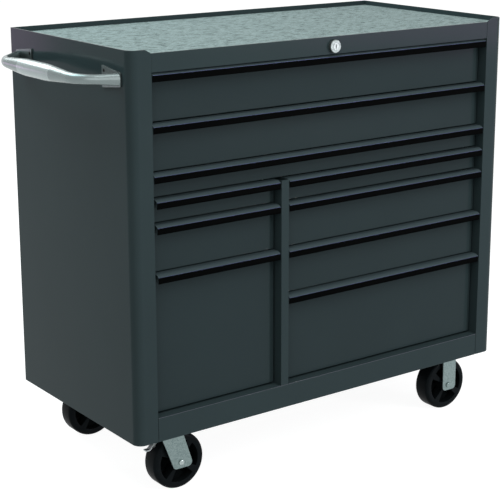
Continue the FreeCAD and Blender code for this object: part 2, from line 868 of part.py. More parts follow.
def swivel_fork(centre):
    """Swivel fork: crown with the turning half of the raceway, and legs that lean back to the axle."""
    x, y = centre
    axle_x = x + swivel_trail
    crown_top = crown_under + fork_sheet
    low = wheel_radius - leg_end_drop
    lean = (swivel_trail - swivel_leg_offset) / (crown_top - wheel_radius)

    def middle(z):
        return axle_x + swivel_leg_offset - (z - wheel_radius) * lean

    def half(z):
        return swivel_leg_width / 2 + swivel_leg_spread * (z - wheel_radius) / (crown_top - wheel_radius)

    corners = [(middle(crown_top) - half(crown_top), crown_top), (middle(low) - half(low), low),
               (middle(low) + half(low), low), (middle(crown_top) + half(crown_top), crown_top)]
    reach = fork_half_inner + fork_sheet
    crown = block(middle(crown_top) - crown_half_length, middle(crown_top) + crown_half_length,
                  y - fork_half_inner, y + fork_half_inner, crown_under, crown_top)
    disc_height = raceway_height / 2 - raceway_gap / 2
    disc = Part.makeCylinder(crown_disc_radius, disc_height, V(x, y, crown_top))
    fork = joined([crown, disc] + leg_pair(corners, y))
    king_radius = kingpin_radius + axle_clearance
    king_bore = Part.makeCylinder(king_radius, disc_height + fork_sheet, V(x, y, crown_under))
    brake = brake_pivot(centre)
    pin_hole = bar(brake_pin_radius, V(brake.x, y - reach, brake.z), V(brake.x, y + reach, brake.z))
    return fork.cut([king_bore, axle_bore(axle_x, y), pin_hole])


def brake_pivot(centre):
    """The brake pin's place under the crown, ahead of the axle."""
    x, y = centre
    return V(x + swivel_trail - brake_pin_lead, y, crown_under - brake_pin_drop)


def swivel_pins(centre):
    """The swivel fork's axle and its brake pin."""
    x, y = centre
    reach = fork_half_inner + fork_sheet
    pivot = brake_pivot(centre)
    pin = bar(brake_pin_radius, V(pivot.x, y - reach, pivot.z), V(pivot.x, y + reach, pivot.z))
    return [axle(x + swivel_trail, y), pin]


def brake_lever(centre):
    """Narrow lever on the brake pin: an arm that slopes down past the tread, its shoe just clear of
    the tread, and a level toe."""
    pivot = brake_pivot(centre)
    half = brake_sheet / 2
    drop = pivot.z - wheel_radius
    line_gap = wheel_radius + brake_gap + shoe_depth + half
    to_axle = math.hypot(drop, brake_pin_lead)
    slope = math.pi - math.atan2(drop, brake_pin_lead) - math.asin(line_gap / to_axle)
    run = brake_length * math.cos(slope)
    fall = brake_length * math.sin(slope)

    def strip(start, end, low, high):
        return block(pivot.x - end, pivot.x - start, pivot.y - brake_half_width,
                     pivot.y + brake_half_width, pivot.z + low, pivot.z + high)

    arm = strip(0, brake_length, -half, half)
    shoe = strip(shoe_start, shoe_end, -half - shoe_depth, -half)
    sloped = joined([arm, shoe])
    sloped.rotate(pivot, V(0, 1, 0), -math.degrees(slope))
    toe = strip(run, run + brake_toe, -fall - half, half - fall)
    reach = V(0, brake_hub_half, 0)
    hub = bar(brake_hub_radius, pivot - reach, pivot + reach)
    bore = bar(brake_pin_radius + axle_clearance, pivot - reach, pivot + reach)
    return joined([hub, sloped, toe]).cut(bore)


def wheel(x, y):
    """Wheel turned about its axle: rounded tread, rim, recessed web with spokes, and a hub."""
    half = wheel_width / 2
    shoulder = wheel_radius - tread_shoulder
    bore = axle_radius + axle_clearance
    quarter = tread_shoulder * math.sqrt(0.5)
    bend = V(shoulder + quarter, half - tread_shoulder + quarter, 0)

    def upper_half():
        flat = half - tread_shoulder
        run = [V(bore, 0, 0), V(wheel_radius, 0, 0), V(wheel_radius, flat, 0)]
        side = [V(shoulder, half, 0), V(rim_inner_radius, half, 0), V(rim_inner_radius, web_half, 0),
                V(hub_radius, web_half, 0), V(hub_radius, hub_half, 0), V(bore, hub_half, 0)]
        edges = [Part.LineSegment(a, b).toShape() for a, b in zip(run, run[1:])]
        edges.append(Part.Arc(run[-1], bend, side[0]).toShape())
        edges += [Part.LineSegment(a, b).toShape() for a, b in zip(side, side[1:])]
        edges.append(Part.LineSegment(side[-1], run[0]).toShape())
        return Part.Face(Part.Wire(Part.__sortEdges__(edges)))

    section = upper_half()
    turned = section.revolve(V(0, 0, 0), V(0, 1, 0), 360)
    both = turned.fuse(turned.mirror(V(0, 0, 0), V(0, 1, 0)))
    spokes = []
    mid = (hub_radius + bore) / 2
    for number in range(spoke_count):
        rib = block(mid, rim_inner_radius + spoke_root, -spoke_half, spoke_half,
                    -spoke_thickness / 2, spoke_thickness / 2)
        rib.rotate(V(0, 0, 0), V(0, 1, 0), 90 + number * 360 / spoke_count)
        spokes.append(rib)
    solid = both.fuse(spokes).removeSplitter()
    solid.translate(V(x, y, wheel_radius))
    return solid


def caster_bolts():
    """Hexagon bolts up through each plate and the pan, with their nuts above the pan."""
    rigid, swivel = caster_centres()
    bolts = []
    for x, y in rigid + swivel:
        for sx in (-1, 1):
            for sy in (-1, 1):
                place = V(x + sx * caster_hole_x / 2, y + sy * caster_hole_y / 2, plate_under)
                bolts.append(hex_bolt(place))
    return bolts


def hex_bolt(place):
    """One bolt from its head below the plate to its nut above the pan."""
    grip = caster_plate_sheet + pan_sheet
    up = V(0, 0, bolt_head_height)
    head = hexagon(place - up, bolt_head_radius, up)
    shank = Part.makeCylinder(bolt_radius, grip + bolt_head_height, place)
    nut = hexagon(place + V(0, 0, grip), bolt_head_radius, up)
    return joined([head, shank, nut])


def main():
    os.makedirs("parts", exist_ok=True)
    save("left_side_panel", [left_side_panel()])
    save("right_side_panel", [side_panel()])
    save("back_panel", [back_panel()])
    save("top_pan", [flanged_pan(tray_under)])
    save("top_mat", [tray_plate(2 * body_sheet + mat_gap, mat_thickness, tray_top)])
    save("header_rail", [header_rail()])
    save("base_rail", [base_rail()])
    save("floor_pan", [floor_pan()])
    save("centre_divider", centre_divider())
    save("slide_uprights", slide_uprights())

    outer_members = []
    for drawer in drawer_list():
        centre = slide_centre(drawer)
        outer_members += slide_pair(drawer, centre, outer_member)
        save(drawer["name"] + "_slides", slide_pair(drawer, centre, middle_member))
        save(drawer["name"] + "_box", drawer_box(drawer))
        save(drawer["name"] + "_pull", drawer_pull(drawer))
    save("cabinet_slides", outer_members)

    save("lock_housing", lock_housing())
    save("lock_plug", [lock_plug()])
    save("lock_frame", [lock_frame()])

    save("side_handle", [side_handle()])
    save("handle_brackets", handle_brackets())
    save("handle_screws", handle_screws())

    save("rigid_forks", rigid_casters())
    save("swivel_plates", swivel_plates())
    save("caster_bolts", caster_bolts())
    rigid, swivel = caster_centres()
    for place, fixed, turning in zip(("front", "rear"), rigid, swivel):
        save("swivel_fork_" + place, [swivel_fork(turning)])
        save("swivel_pins_" + place, swivel_pins(turning))
        save("brake_lever_" + place, [brake_lever(turning)])
        save("wheel_" + place + "_left", [wheel(turning[0] + swivel_trail, turning[1])])
        save("wheel_" + place + "_right", [wheel(fixed[0], fixed[1])])


if __name__ == "__main__":
    main()
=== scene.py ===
import json
import math

import bpy
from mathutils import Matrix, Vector

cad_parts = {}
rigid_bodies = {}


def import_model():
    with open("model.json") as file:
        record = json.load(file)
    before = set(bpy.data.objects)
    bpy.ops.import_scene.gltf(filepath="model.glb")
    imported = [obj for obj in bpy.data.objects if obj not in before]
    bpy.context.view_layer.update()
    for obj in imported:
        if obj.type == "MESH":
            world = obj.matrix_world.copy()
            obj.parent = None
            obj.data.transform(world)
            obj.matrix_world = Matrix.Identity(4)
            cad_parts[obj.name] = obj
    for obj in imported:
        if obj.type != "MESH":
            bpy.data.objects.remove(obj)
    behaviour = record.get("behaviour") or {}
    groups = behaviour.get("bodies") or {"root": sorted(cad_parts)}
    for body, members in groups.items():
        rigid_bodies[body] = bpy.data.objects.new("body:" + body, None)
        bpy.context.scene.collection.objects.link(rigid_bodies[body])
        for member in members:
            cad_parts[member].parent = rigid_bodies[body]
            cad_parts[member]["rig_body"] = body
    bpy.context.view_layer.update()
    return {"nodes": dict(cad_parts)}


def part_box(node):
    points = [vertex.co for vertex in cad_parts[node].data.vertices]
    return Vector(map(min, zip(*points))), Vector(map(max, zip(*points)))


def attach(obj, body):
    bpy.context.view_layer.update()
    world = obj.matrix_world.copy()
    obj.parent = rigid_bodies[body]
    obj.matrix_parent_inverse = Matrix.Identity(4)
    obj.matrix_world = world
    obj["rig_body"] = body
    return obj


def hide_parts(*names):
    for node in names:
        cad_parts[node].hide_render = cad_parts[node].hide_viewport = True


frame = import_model()

# The steel body is the frame of reference: its walls, front and back give the camera and the
# lamps their aim, and its front plane gives the drawers' faces and pulls their place.
left_wall, right_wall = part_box("back_panel")[0].x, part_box("back_panel")[1].x
front_plane, back_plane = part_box("base_rail")[0].y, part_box("back_panel")[1].y
body_middle = Vector(((left_wall + right_wall) / 2, (front_plane + back_plane) / 2, 0))

# The camera stands where the photograph was taken from: 36.5 degrees to the left of the front,
# 14.1 degrees above the horizon and 3.4 m away, with the lens shifted as the picture was cropped.
camera_azimuth = math.radians(-36.5314)
camera_elevation = math.radians(14.1252)
camera_distance = 3.3875
camera_aim = body_middle + Vector((0.0049, 0, 0.5082))
sensor_width, lens_length = 36, 103.46  # in mm
frame_width, frame_height = 500, 489  # in pixels, as is the point that the lens looks at
picture_centre = (266.154, 217.044)
bpy.ops.object.select_all(action="DESELECT")
bpy.ops.object.camera_add()
camera = bpy.context.object
away = Vector((math.sin(camera_azimuth) * math.cos(camera_elevation),
               -math.cos(camera_azimuth) * math.cos(camera_elevation), math.sin(camera_elevation)))
camera.location = camera_aim + away * camera_distance
camera.rotation_euler = away.to_track_quat("Z", "Y").to_euler()
camera.data.sensor_width = sensor_width
camera.data.lens = lens_length
camera.data.shift_x = (frame_width / 2 - picture_centre[0]) / frame_width
camera.data.shift_y = (picture_centre[1] - frame_height / 2) / frame_width
bpy.context.scene.camera = camera
bpy.context.scene.view_settings.view_transform = "Standard"


# The studio is a pale floor under an even sky. A small key lamp stands low to the right of the
# front, and broad lamps fill the corner, the front, the top, the left side and the back. Two faint
# violet cards tint the header and the left side. None of it is part of the object.
def srgb(code):
    """An sRGB hex colour as the linear colour that a shader takes."""
    shares = [int(code[place:place + 2], 16) / 255 for place in (1, 3, 5)]
    return [s / 12.92 if s <= 0.04045 else ((s + 0.055) / 1.055) ** 2.4 for s in shares] + [1]


def add_node(tree, kind, settings=(), **links):
    """A node with its sockets or properties set, and its inputs linked by name."""
    node = tree.nodes.new(kind)
    for name, value in dict(settings).items():
        if name in node.inputs:
            node.inputs[name].default_value = value
        else:
            setattr(node, name, value)
    for name, source in links.items():
        tree.links.new(source, node.inputs[name.replace("_", " ")])
    return node


def white_to_the_eye(tree):
    """1 for rays from the camera, in reflections and through glass, and 0 for rays that light."""
    path = add_node(tree, "ShaderNodeLightPath")
    seen = add_node(tree, "ShaderNodeMath", {"operation": "MAXIMUM"})
    tree.links.new(path.outputs["Is Camera Ray"], seen.inputs[0])
    tree.links.new(path.outputs["Is Glossy Ray"], seen.inputs[1])
    both = add_node(tree, "ShaderNodeMath", {"operation": "MAXIMUM"})
    tree.links.new(seen.outputs[0], both.inputs[0])
    tree.links.new(path.outputs["Is Transmission Ray"], both.inputs[1])
    return both.outputs[0]


sky_strength, floor_glow, floor_size = 0.36, 0.93, 60
world = bpy.data.worlds.new("pale_studio")
bpy.context.scene.world = world
world.use_nodes = True
sky = world.node_tree
sky.nodes.clear()
backdrop = add_node(sky, "ShaderNodeBackground", {"Color": srgb("#FFFFFF"), "Strength": 1})
ambient = add_node(sky, "ShaderNodeBackground",
                   {"Color": srgb("#F4F7F8"), "Strength": sky_strength})
sky_mix = add_node(sky, "ShaderNodeMixShader", Fac=white_to_the_eye(sky))
sky.links.new(ambient.outputs[0], sky_mix.inputs[1])
sky.links.new(backdrop.outputs[0], sky_mix.inputs[2])
add_node(sky, "ShaderNodeOutputWorld", Surface=sky_mix.outputs[0])

bpy.ops.mesh.primitive_plane_add(size=floor_size, location=(0, 0, 0))
floor = bpy.context.object
floor.name = "studio_floor"
# Matt pale paper: it keeps a soft shadow, and its own glow brings it up to the backdrop's white.
floor_paper = bpy.data.materials.new("pale_paper_floor")
floor_paper.use_nodes = True
paper = floor_paper.node_tree
paper.nodes.clear()
paper_matt = add_node(paper, "ShaderNodeBsdfDiffuse", {"Color": srgb("#929494")})
paper_white = add_node(paper, "ShaderNodeEmission",
                       {"Color": srgb("#FFFFFF"), "Strength": floor_glow})
paper_seen = add_node(paper, "ShaderNodeMixShader", Fac=white_to_the_eye(paper))
paper.links.new(paper_white.outputs[0], paper_seen.inputs[2])
paper_sum = add_node(paper, "ShaderNodeAddShader")
paper.links.new(paper_matt.outputs[0], paper_sum.inputs[0])
paper.links.new(paper_seen.outputs[0], paper_sum.inputs[1])
add_node(paper, "ShaderNodeOutputMaterial", Surface=paper_sum.outputs[0])
floor.data.materials.append(floor_paper)


lamp_aim_height = 0.5


def soft_lamp(name, azimuth, elevation, distance, width, height, power, tint="#FFFFFF"):
    """A soft lamp, sizes in metres and power in watts, that faces the middle of the cabinet."""
    bpy.ops.object.light_add(type="AREA")
    lamp = bpy.context.object
    lamp.name = name
    turn, rise = math.radians(azimuth), math.radians(elevation)
    out = Vector((math.sin(turn) * math.cos(rise), -math.cos(turn) * math.cos(rise),
                  math.sin(rise)))
    lamp.location = body_middle + Vector((0, 0, lamp_aim_height)) + out * distance
    lamp.rotation_euler = out.to_track_quat("Z", "Y").to_euler()
    lamp.data.shape = "RECTANGLE"
    lamp.data.size, lamp.data.size_y = width, height
    lamp.data.energy = power
    lamp.data.color = srgb(tint)[:3]
    lamp.visible_camera = False


soft_lamp("key_lamp", 32, 4, 5.0, 0.5, 0.5, 80)
soft_lamp("corner_fill", -52, 18, 5.0, 3.0, 3.0, 38)
soft_lamp("front_sky", 15, 40, 5.0, 2.4, 2.4, 58)
soft_lamp("high_front", -22, 66, 5.0, 3.0, 3.0, 90)
soft_lamp("side_fill", -125, 52, 2.3, 1.0, 1.0, 18, "#E0FCFF")
soft_lamp("rear_sky", -163, 38, 5.0, 2.4, 2.4, 90)
soft_lamp("violet_card", 46.5, 1.0, 5.0, 2.0, 0.5, 13.5, "#FFC0FF")
soft_lamp("violet_card_rear", -156, -0.4, 5.0, 1.5, 0.4, 3.2, "#FFC0FF")


# The cabinet's body is folded from 1.2 mm steel sheet and spot welded: floor pan, two sides with
# their front posts, back, base rail, header rail, centre divider, uprights and top pan. Every fold
# and cut edge is slightly round under a glossy dark slate powder coat.
def new_material(name, settings):
    """A material with one Principled shader, its sockets set."""
    material = bpy.data.materials.new(name)
    material.use_nodes = True
    for socket, value in settings.items():
        material.node_tree.nodes["Principled BSDF"].inputs[socket].default_value = value
    return material


def linked(material, **links):
    """Links sources to the sockets of a material's Principled shader."""
    shader = material.node_tree.nodes["Principled BSDF"]
    for name, source in links.items():
        material.node_tree.links.new(source, shader.inputs[name.replace("_", " ")])
    return material


def clouded(tree, place, spot, detail, light, dark):
    """A colour that drifts between two tones, in spots of a real size in metres."""
    cloud = add_node(tree, "ShaderNodeTexNoise", {"Scale": 1 / spot, "Detail": detail},
                     Vector=place)
    return add_node(tree, "ShaderNodeMixRGB", {"Color1": srgb(dark), "Color2": srgb(light)},
                    Fac=cloud.outputs["Fac"]).outputs["Color"]


def slate_powder_coat(name, light, dark):
    """Sprayed and baked polyester powder coat. It gives the eye an even glossy dark film, whose
    faint orange peel breaks the edges of reflections, and a barely uneven tone. Real orange peel
    is 1 to 2 mm across, too fine to show, so it is drawn at 4 mm."""
    coat = new_material(name, {"Roughness": 0.11, "Specular IOR Level": 0.04})
    tree = coat.node_tree
    place = add_node(tree, "ShaderNodeTexCoord").outputs["Object"]
    uneven_film, orange_peel, peel_depth = 0.16, 0.004, 0.0002
    tone = clouded(tree, place, uneven_film, 3, light, dark)
    peel = add_node(tree, "ShaderNodeTexNoise", {"Scale": 1 / orange_peel, "Detail": 1},
                    Vector=place)
    ripple = add_node(tree, "ShaderNodeBump", {"Strength": 0.06, "Distance": peel_depth},
                      Height=peel.outputs["Fac"])
    return linked(coat, Base_Color=tone, Normal=ripple.outputs["Normal"])


def hold(piece):
    """Makes a piece the active one, and the only one selected."""
    bpy.ops.object.select_all(action="DESELECT")
    bpy.context.view_layer.objects.active = piece
    piece.select_set(True)


def smooth(piece):
    """Smooth shading except across sharp folds."""
    hold(piece)
    bpy.ops.object.shade_smooth_by_angle(angle=math.radians(35))


def round_edges(piece, width, corners="MITER_SHARP"):
    """Leaves edit mode and rounds each sharp edge of the active piece."""
    bpy.ops.object.mode_set(mode="OBJECT")
    rounding = piece.modifiers.new("rounding", "BEVEL")
    rounding.width = width
    rounding.segments = 2
    rounding.limit_method = "ANGLE"
    rounding.angle_limit = math.radians(40)
    rounding.miter_outer = corners
    bpy.ops.object.modifier_apply(modifier="rounding")


same_point = 0.00002


def finished(node, edge, material):
    """A node's shape, its doubles merged and sharp edges rounded, which stands for the node."""
    piece = bpy.data.objects.new(node + "_finished", frame["nodes"][node].data.copy())
    bpy.context.scene.collection.objects.link(piece)
    piece.data.materials.clear()
    piece.data.materials.append(material)
    hold(piece)
    bpy.ops.object.mode_set(mode="EDIT")
    bpy.ops.mesh.select_all(action="SELECT")
    bpy.ops.mesh.remove_doubles(threshold=same_point)
    bpy.ops.mesh.dissolve_limited(angle_limit=math.radians(0.5))
    round_edges(piece, edge, "MITER_ARC")
    smooth(piece)
    level = piece.modifiers.new("level_faces", "WEIGHTED_NORMAL")
    level.keep_sharp = True
    bpy.ops.object.modifier_apply(modifier="level_faces")
    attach(piece, frame["nodes"][node]["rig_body"])
    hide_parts(node)
    return piece


body_coat = slate_powder_coat("slate_powder_coat", "#323F41", "#2F3B3D")
body_sheet = ["floor_pan", "left_side_panel", "right_side_panel", "back_panel", "base_rail",
              "header_rail", "centre_divider", "slide_uprights", "top_pan"]
fold_round = 0.0005
for node in body_sheet:
    finished(node, fold_round, body_coat)
# The base rail's top front edge gets a pale violet-grey coat: a painted highlight, a pale line
# there.
rail = bpy.data.objects["base_rail_finished"]
rail.data.materials.append(slate_powder_coat("powder_coat_painted_edge_highlight", "#63636F", "#57585F"))
highlight_depth, highlight_slope = 0.002, 0.2
for face in rail.data.polygons:
    leans_forward = face.normal.z > highlight_slope and face.normal.y < -highlight_slope
    if leans_forward and face.center.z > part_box("base_rail")[1].z - highlight_depth:
        face.material_index = 1


# The casters are pressed from 3 mm steel and zinc plated, their plates bolted up to the floor pan.
# The left pair swivel on a kingpin and carry a foot brake. The right pair are rigid.
def plated_metal(name, light, dark, grain, roughness=0.5, shine=0.14):
    """Electroplated metal, which gives the eye a fine mottle whose paler spots are shinier. Its
    grain is in metres. Real plating crystals are far finer, and are drawn coarser to show."""
    plate = new_material(name, {"Metallic": 1})
    tree = plate.node_tree
    place = add_node(tree, "ShaderNodeTexCoord").outputs["Object"]
    spangle = add_node(tree, "ShaderNodeTexNoise",
                       {"Scale": 1 / grain, "Detail": 4, "Roughness": 0.7}, Vector=place)
    share = add_node(tree, "ShaderNodeMapRange", {"From Min": 0.35, "From Max": 0.65},
                     Value=spangle.outputs["Fac"])
    tone = add_node(tree, "ShaderNodeMixRGB", {"Color1": srgb(dark), "Color2": srgb(light)},
                    Fac=share.outputs["Result"])
    sheen = add_node(tree, "ShaderNodeMapRange", {"To Min": roughness, "To Max": roughness - shine},
                     Value=share.outputs["Result"])
    return linked(plate, Base_Color=tone.outputs["Color"], Roughness=sheen.outputs["Result"])


# Dull barrel plating on the forks: grey-green, with soft reflections and a visible mottle.
caster_zinc = plated_metal("dull_zinc_plate", "#7D8C8B", "#627271", 0.003)
pressed_round, turned_round = 0.0004, 0.0003
for node in ["rigid_forks", "swivel_plates", "swivel_fork_front", "swivel_fork_rear"]:
    finished(node, pressed_round, caster_zinc)
# Bright zinc on bolts, levers and slides: paler and cleaner, so small parts catch the light.
bright_zinc = plated_metal("bright_zinc_plate", "#B6BCBD", "#9FA6A7", 0.006)
finished("caster_bolts", turned_round, bright_zinc)
for node in ["brake_lever_front", "brake_lever_rear"]:
    finished(node, pressed_round, bright_zinc)
# The turning pins' zinc is greyer than the bolts.
axle_zinc = plated_metal("grey_zinc_axle", "#A9B4B3", "#828E8D", 0.005)
for node in ["swivel_pins_front", "swivel_pins_rear"]:
    finished(node, turned_round, axle_zinc)


# Each wheel is moulded in one piece from hard black polypropylene, 127 mm across: a tread with
# round shoulders, and on each side four deep pockets between flat spokes round a long hub.
def moulded_plastic(name, light, dark, roughness, specular):
    """Moulded polypropylene: a fine grain from the mould and a few paler scuffs. The grain is
    drawn at 1.5 mm, coarser than the real one, to show."""
    plastic = new_material(name, {"Roughness": roughness, "Specular IOR Level": specular})
    tree = plastic.node_tree
    place = add_node(tree, "ShaderNodeTexCoord").outputs["Object"]
    mould_grain, grain_depth, scuff = 0.0015, 0.0002, 0.02
    tone = clouded(tree, place, scuff, 4, light, dark)
    grain = add_node(tree, "ShaderNodeTexNoise", {"Scale": 1 / mould_grain, "Detail": 2},
                     Vector=place)
    bump = add_node(tree, "ShaderNodeBump", {"Strength": 0.12, "Distance": grain_depth},
                    Height=grain.outputs["Fac"])
    return linked(plastic, Base_Color=tone, Normal=bump.outputs["Normal"])


# The tread and spokes are rubbed to a dull satin. The pockets are matt and coloured darker as
# painted shade, so they read as the darkest part of the wheel.
black_polypropylene = moulded_plastic("moulded_black_polypropylene", "#12171A", "#0B0F10",
                                      0.4, 0.03)
recess_painted_shade = moulded_plastic("matt_black_recess_painted_shade", "#0D1112", "#090C0D", 0.8, 0.01)


def pick_faces(piece, test):
    """In face mode, selects the faces whose middle and normal pass a test."""
    bpy.context.view_layer.objects.active = piece
    bpy.ops.object.mode_set(mode="EDIT")
    bpy.ops.mesh.select_mode(type="FACE")
    bpy.ops.mesh.select_all(action="DESELECT")
    bpy.ops.object.mode_set(mode="OBJECT")
    for face in piece.data.polygons:
        face.select = test(face.center, face.normal)
    bpy.ops.object.mode_set(mode="EDIT")


def pick_edges(piece, test):
    """In edge mode, selects the edges whose two ends together pass a test."""
    bpy.context.view_layer.objects.active = piece
    bpy.ops.object.mode_set(mode="EDIT")
    bpy.ops.mesh.select_mode(type="EDGE")
    bpy.ops.mesh.select_all(action="DESELECT")
    bpy.ops.object.mode_set(mode="OBJECT")
    points = piece.data.vertices
    for edge in piece.data.edges:
        edge.select = test(*(points[end].co for end in edge.vertices))
    bpy.ops.object.mode_set(mode="EDIT")


def settle(piece):
    """Puts a piece's place, turn and size into its mesh."""
    hold(piece)
    bpy.ops.object.transform_apply(location=True, rotation=True, scale=True)


wheel_radius, tread_half, wheel_edge = 0.0635, 0.02165, 0.0009
shoulder, rim_inner, web_half = 0.0075, 0.048, 0.003
hub_radius, hub_half, hub_draft = 0.016, 0.0266, 0.0004
bore_radius, bore_chamfer, bore_depth = 0.0085, 0.0005, 0.002
pocket_count, pocket_turn, pocket_half_angle, pocket_draft = 4, 9.4, 35.2, 0.0014
sideways = math.radians(90)


def cabinet_wheel(node):
    """One wheel, turned from a cylinder: hub and bore first, then the pockets and shoulders."""
    low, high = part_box(node)
    centre = (low + high) / 2
    bpy.ops.object.select_all(action="DESELECT")
    bpy.ops.mesh.primitive_cylinder_add(vertices=96, radius=wheel_radius, depth=2 * tread_half,
                                        location=centre, rotation=(sideways, 0, 0))
    wheel = bpy.context.object
    wheel.name = node + "_moulding"
    settle(wheel)

    def reach(point):
        return math.hypot(point.x - centre.x, point.z - centre.z)

    def in_pocket(middle, normal):
        angle = math.degrees(math.atan2(middle.z - centre.z, middle.x - centre.x)) - pocket_turn
        share = 360 / pocket_count
        off = abs((angle + share / 2) % share - share / 2)
        beside_spoke = hub_radius < reach(middle) < rim_inner and off < pocket_half_angle
        return abs(normal.y) > 0.9 and beside_spoke

    def on_rim(a, b):
        return min(reach(a), reach(b)) > wheel_radius - 0.0001 and abs(a.y - b.y) < 0.001

    pick_faces(wheel, lambda middle, normal: abs(normal.y) > 0.9)
    bpy.ops.mesh.inset(thickness=wheel_radius - rim_inner, depth=0)
    bpy.ops.mesh.inset(thickness=rim_inner - hub_radius, depth=0)
    bpy.ops.mesh.inset(thickness=hub_draft, depth=hub_half - tread_half)
    bpy.ops.mesh.inset(thickness=hub_radius - bore_radius, depth=0)
    bpy.ops.mesh.inset(thickness=bore_chamfer, depth=-bore_depth)
    pick_faces(wheel, in_pocket)
    bpy.ops.mesh.inset(thickness=pocket_draft, depth=web_half - tread_half)
    pick_edges(wheel, on_rim)
    bpy.ops.mesh.bevel(offset=shoulder, segments=5, profile=0.5)
    round_edges(wheel, wheel_edge)
    wheel.data.materials.append(black_polypropylene)
    wheel.data.materials.append(recess_painted_shade)
    # Pocket faces take the darker recess colour: painted shade.
    pocket_lip = tread_half - 0.001
    for face in wheel.data.polygons:
        if reach(face.center) < rim_inner and abs(face.center.y - centre.y) < pocket_lip:
            face.material_index = 1
    smooth(wheel)
    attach(wheel, node)
    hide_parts(node)


for node in ["wheel_front_left", "wheel_rear_left", "wheel_front_right", "wheel_rear_right"]:
    cabinet_wheel(node)


# A matt black strip behind each open joint between the base rail and the two posts, as painted
# shade: no light shows through the joint.

# The strip's black drifts in tone in spots about 8 mm wide, so the joint reads as a thin dark line
# of painted shade.
shade_strip_paint = new_material("black_strip_painted_gap_shade", {"Roughness": 0.7, "Specular IOR Level": 0.02})
shade_strip_place = add_node(shade_strip_paint.node_tree, "ShaderNodeTexCoord").outputs["Object"]
strip_tone_spot = 0.008
linked(shade_strip_paint, Base_Color=clouded(shade_strip_paint.node_tree, shade_strip_place, strip_tone_spot, 2,
                                  "#131617", "#0A0C0D"))
rail_low, rail_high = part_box("base_rail")
shade_strip_lap, seam_bridge, shade_strip_thickness, sheet_behind = 0.003, 0.0009, 0.0006, 0.0014
shade_strip_end_gap, shade_strip_edge = 0.002, 0.00025
shade_strip_y = rail_low.y + sheet_behind + shade_strip_thickness / 2
for side, inner_end, outer_end in [("left", rail_low.x + shade_strip_lap, rail_low.x - seam_bridge),
                                   ("right", rail_high.x - shade_strip_lap, rail_high.x + seam_bridge)]:
    shade_strip_centre = ((inner_end + outer_end) / 2, shade_strip_y, (rail_low.z + rail_high.z) / 2)
    bpy.ops.object.select_all(action="DESELECT")
    bpy.ops.mesh.primitive_cube_add(size=1, location=shade_strip_centre)
    shade_strip = bpy.context.object
    shade_strip.name = "gap_shade_strip_" + side
    shade_strip.scale = (abs(inner_end - outer_end), shade_strip_thickness,
                  rail_high.z - rail_low.z - 2 * shade_strip_end_gap)
    settle(shade_strip)
    round_edges(shade_strip, shade_strip_edge)
    shade_strip.data.materials.append(shade_strip_paint)
    smooth(shade_strip)
    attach(shade_strip, frame["nodes"]["base_rail"]["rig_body"])


# The slides are rolled steel channels, bright zinc plated. The widest member is screwed to the
# uprights, the middle one telescopes, and the narrowest is riveted to the drawer's side.
drawers = sorted(name[:-4] for name in frame["nodes"] if name.endswith("_box"))
for node in ["cabinet_slides"] + [name + "_slides" for name in drawers]:
    channel = frame["nodes"][node]
    channel.data.materials.clear()
    channel.data.materials.append(bright_zinc)


# Each drawer is a folded box with a double-folded front, powder coated like the body. The drawer
# member of each slide is riveted to its side and stays bright zinc.
drawer_coat = slate_powder_coat("slate_powder_coat_drawers", "#2E3A3C", "#2B3638")
slide_space, slide_wall_gap = 0.0132, 0.0019
face_recess, front_fold, fold_slack, wall_slack, box_round = 0.022, 0.010, 0.0005, 0.0001, 0.0004


def drawer_walls(name):
    """The left and right planes of a drawer's side walls, one slide's space inside its slides."""
    slide_low, slide_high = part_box(name + "_slides")
    return (slide_low.x - slide_wall_gap + slide_space,
            slide_high.x + slide_wall_gap - slide_space)


for name in drawers:
    box = finished(name + "_box", box_round, drawer_coat)
    box.data.materials.append(bright_zinc)
    folds_end = front_plane + face_recess + front_fold + fold_slack
    side_left, side_right = drawer_walls(name)
    for face in box.data.polygons:
        beside = not side_left - wall_slack <= face.center.x <= side_right + wall_slack
        if beside and face.center.y > folds_end:
            face.material_index = 1


# A pull is an aluminium extrusion as long as its drawer, painted grey and hooked over the top of
# the front. A black vinyl strip fills the channel in its face, under a thin lip coloured blue-grey
# as a painted highlight.

# Extruded soft vinyl, matt and nearly black, with faint marks of handling about 30 mm long: it
# swallows the light, so each pull reads as a black band.
black_vinyl = new_material("black_vinyl_strip", {"Roughness": 0.5, "Specular IOR Level": 0.005})
vinyl_place = add_node(black_vinyl.node_tree, "ShaderNodeTexCoord").outputs["Object"]
handling_mark = 0.03
linked(black_vinyl, Base_Color=clouded(black_vinyl.node_tree, vinyl_place, handling_mark, 3,
                                       "#050606", "#030404"))
# A blue-grey metal with the die's fine lines along it, coloured as a painted highlight: a thin
# blue-grey glint above the band. Real die lines are finer than 0.4 mm, which is the least that can
# show.
die_line_length, die_line_width = 0.012, 0.0004
lip_painted_highlight = new_material("aluminium_lip_painted_highlight", {"Metallic": 1, "Roughness": 0.5})
lip_tree = lip_painted_highlight.node_tree
lip_place = add_node(lip_tree, "ShaderNodeTexCoord").outputs["Object"]
lip_draw = add_node(lip_tree, "ShaderNodeMapping",
                    {"Scale": (1 / die_line_length, 1 / die_line_width, 1 / die_line_width)},
                    Vector=lip_place)
lip_streak = add_node(lip_tree, "ShaderNodeTexNoise", {"Scale": 1, "Detail": 2},
                      Vector=lip_draw.outputs["Vector"])
lip_highlight_tone = add_node(lip_tree, "ShaderNodeMixRGB",
                    {"Color1": srgb("#2A3044"), "Color2": srgb("#42496A")},
                    Fac=lip_streak.outputs["Fac"])
linked(lip_painted_highlight, Base_Color=lip_highlight_tone.outputs["Color"])
pull_slope, strip_thickness, lip_height, lip_fold = 0.0048, 0.0012, 0.0006, 0.0002
pull_round = 0.0004
# The pulls' coat is lighter than the drawers': painted light, for the light falling on their
# ledges.
pull_coat_painted_light = slate_powder_coat("slate_powder_coat_pulls_painted_light", "#3F4B4E", "#3A4649")
